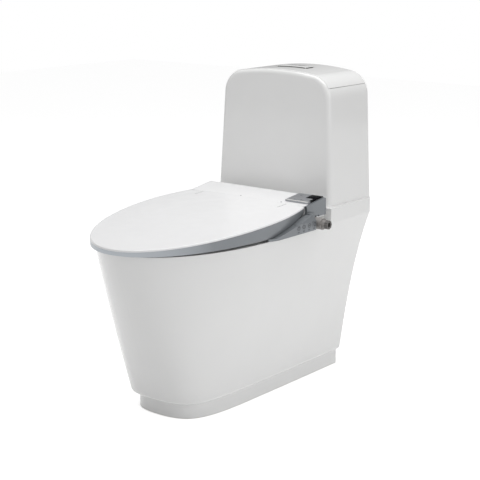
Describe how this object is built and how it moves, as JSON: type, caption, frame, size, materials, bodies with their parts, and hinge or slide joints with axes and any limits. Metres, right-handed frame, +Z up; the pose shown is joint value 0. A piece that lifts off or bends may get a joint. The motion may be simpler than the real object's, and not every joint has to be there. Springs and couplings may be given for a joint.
{
  "type": "smart toilet with heated seat",
  "caption": "Skirted two-piece toilet with a close-coupled cistern, a heated washing seat with a soft-close lid and a side control arm.",
  "frame": {"origin": "centre of the floor waste outlet at floor level, on the symmetry plane", "axes": "+Z up, -Y towards the nose of the bowl, +X towards the arm with the controls"},
  "size_m": [0.422, 0.724, 0.73],
  "materials": {
    "china": "glossy white glaze",
    "white_shell": "smooth satin-gloss white",
    "white_button": "smooth gloss white",
    "grey_trim": "satin silver-grey paint",
    "key_grey": "satin silver-grey with a darker ring",
    "lamp": "smoked translucent",
    "silver_plate": "fine satin silver",
    "black_glass": "polished black",
    "knob_grey": "satin warm grey",
    "dark_recess": "dark matte",
    "rubber": "matte",
    "works_white": "moulded",
    "works_grey": "moulded",
    "steel": "brushed",
    "nut_plastic": "moulded",
    "wand_chrome": "polished",
    "board": "solder-masked laminate",
    "foil": "thin foil"
  },
  "bodies": {
    "toilet": {"bowl_pan": "china", "bowl_basin": "china", "trapway": "china", "flush_channel": "china", "tank_body": "china", "housing_cover": "white_shell", "side_panel": "grey_trim", "side_panel_left": "grey_trim", "arm_lamps": "lamp", "display_plate": "silver_plate", "display_window": "black_glass", "outlet_seal": "rubber", "tank_gasket": "rubber", "tank_washers": "rubber", "flush_valve_base": "works_white", "flush_valve_locknut": "works_white", "flush_tower": "works_white", "fill_valve": "works_white", "fill_valve_locknut": "works_white", "bidet_tray": "works_white", "tray_frame": "works_white", "hinge_posts": "works_white", "water_heater": "works_grey", "solenoid_valve": "works_grey", "dryer_duct": "works_grey", "wand_guide": "works_grey", "cable_gland": "works_grey", "tank_bolts": "steel", "tank_wing_nuts": "steel", "seat_bracket": "steel", "bracket_bolts": "steel", "hinge_pins": "steel", "water_inlet": "steel", "bracket_nuts": "nut_plastic", "key_board": "board", "control_board": "board"},
    "cistern_lid": {"tank_lid": "china", "tank_lid_pads": "rubber", "button_bezel": "dark_recess"},
    "full_flush_button": {"flush_button_full": "white_button"},
    "half_flush_button": {"flush_button_half": "white_button"},
    "flush_drum": {"flush_drum": "works_white", "flush_drum_seal": "rubber"},
    "fill_float": {"fill_float": "works_white"},
    "seat": {"seat_upper_shell": "white_shell", "seat_lower_shell": "white_shell", "seat_heating_foil": "foil", "seat_buffers": "rubber"},
    "lid": {"lid_shell": "white_shell", "lid_band": "grey_trim", "lid_buffers": "rubber"},
    "filter_knob": {"filter_knob": "knob_grey"},
    "wand_sleeve": {"wand_sleeve": "wand_chrome"},
    "spray_wand": {"spray_wand": "wand_chrome"},
    "dryer_impeller": {"dryer_impeller": "works_grey"},
    "arm_button_1": {"arm_button_1": "key_grey"},
    "arm_button_2": {"arm_button_2": "key_grey"},
    "arm_button_3": {"arm_button_3": "key_grey"},
    "arm_button_4": {"arm_button_4": "key_grey"}
  },
  "joints": [
    {"name": "cistern_lid_lift", "type": "slide", "parent": "toilet", "child": "cistern_lid", "axis": [0, 0, 1], "range_m": [0, 0.08]},
    {"name": "full_flush_press", "type": "slide", "parent": "cistern_lid", "child": "full_flush_button", "axis": [0, 0, -1], "range_m": [0, 0.006], "stiffness_N_per_m": 400, "springref_m": -0.002},
    {"name": "half_flush_press", "type": "slide", "parent": "cistern_lid", "child": "half_flush_button", "axis": [0, 0, -1], "range_m": [0, 0.006], "stiffness_N_per_m": 400, "springref_m": -0.002},
    {"name": "drum_lift", "type": "slide", "parent": "toilet", "child": "flush_drum", "axis": [0, 0, 1], "range_m": [0, 0.02]},
    {"name": "float_drop", "type": "slide", "parent": "toilet", "child": "fill_float", "axis": [0, 0, -1], "range_m": [0, 0.06], "stiffness_N_per_m": 60, "springref_m": -0.012},
    {"name": "seat_hinge", "type": "hinge", "parent": "toilet", "child": "seat", "pos_m": [0, 0.016, 0.43], "axis": [1, 0, 0], "range_deg": [-98, 0]},
    {"name": "lid_hinge", "type": "hinge", "parent": "seat", "child": "lid", "pos_m": [0, 0.016, 0.43], "axis": [-1, 0, 0], "range_deg": [0, 105]},
    {"name": "filter_knob_turn", "type": "hinge", "parent": "toilet", "child": "filter_knob", "pos_m": [0.2, 0.054, 0.402], "axis": [1, 0, 0], "range_deg": [0, 90]},
    {"name": "sleeve_slide", "type": "slide", "parent": "toilet", "child": "wand_sleeve", "axis": [0, -0.9925, -0.1219], "range_m": [0, 0.053]},
    {"name": "wand_slide", "type": "slide", "parent": "wand_sleeve", "child": "spray_wand", "axis": [0, -0.9925, -0.1219], "range_m": [0, 0.054]},
    {"name": "impeller_spin", "type": "hinge", "parent": "toilet", "child": "dryer_impeller", "pos_m": [0.048, 0.083, 0.41], "axis": [0, 0, 1], "continuous": true},
    {"name": "arm_button_1_press", "type": "slide", "parent": "toilet", "child": "arm_button_1", "axis": [-1, 0, 0], "range_m": [0, 0.0012], "stiffness_N_per_m": 500, "springref_m": -0.001},
    {"name": "arm_button_2_press", "type": "slide", "parent": "toilet", "child": "arm_button_2", "axis": [-1, 0, 0], "range_m": [0, 0.0012], "stiffness_N_per_m": 500, "springref_m": -0.001},
    {"name": "arm_button_3_press", "type": "slide", "parent": "toilet", "child": "arm_button_3", "axis": [-1, 0, 0], "range_m": [0, 0.0012], "stiffness_N_per_m": 500, "springref_m": -0.001},
    {"name": "arm_button_4_press", "type": "slide", "parent": "toilet", "child": "arm_button_4", "axis": [-1, 0, 0], "range_m": [0, 0.0012], "stiffness_N_per_m": 500, "springref_m": -0.001}
  ],
  "couplings": [
    {"joint": "drum_lift", "follows": "full_flush_press", "ratio": 3.3},
    {"joint": "wand_slide", "follows": "sleeve_slide", "ratio": 1}
  ]
}
